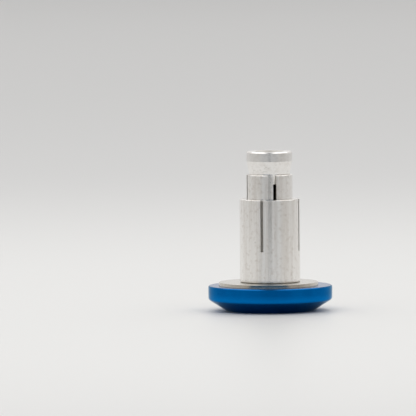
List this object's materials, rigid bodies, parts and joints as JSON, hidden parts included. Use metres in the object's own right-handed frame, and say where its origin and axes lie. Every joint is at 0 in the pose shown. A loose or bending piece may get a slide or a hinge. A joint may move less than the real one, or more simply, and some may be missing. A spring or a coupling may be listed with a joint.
{
  "type": "bar end weight",
  "caption": "Round bevelled end cap on a slotted expanding plug that grips inside a tubular handlebar, drawn tight by a countersunk screw and a tapered nut.",
  "frame": {"origin": "centre of the cap's face, on the plane it stands on", "axes": "+Z along the axis, from the cap's face through the plug to the tapered nut; the first slots are turned from -Y"},
  "size_m": [0.036, 0.036, 0.0462],
  "materials": {
    "anodised_cap": "blue anodised, fine turned",
    "stainless_screw": "cold headed stainless, dull",
    "stainless_washer": "stamped stainless, polished",
    "turned_aluminium": "bare, fine turned",
    "turned_nut": "bare, fine turned"
  },
  "bodies": {
    "plug": {"end_cap": "anodised_cap", "washer": "stainless_washer", "outer_sleeve": "turned_aluminium", "inner_collet": "turned_aluminium"},
    "screw": {"countersunk_screw": "stainless_screw"},
    "nut": {"tapered_nut": "turned_nut"}
  },
  "joints": [
    {"name": "screw_turn", "type": "hinge", "parent": "plug", "child": "screw", "pos_m": [0, 0, 0], "axis": [0, 0, -1], "range_deg": [0, 1440]},
    {"name": "nut_travel", "type": "slide", "parent": "plug", "child": "nut", "axis": [0, 0, 1], "range_m": [0, 0.005]}
  ],
  "couplings": [
    {"joint": "nut_travel", "follows": "screw_turn", "m_per_rad": 0.00019894}
  ]
}
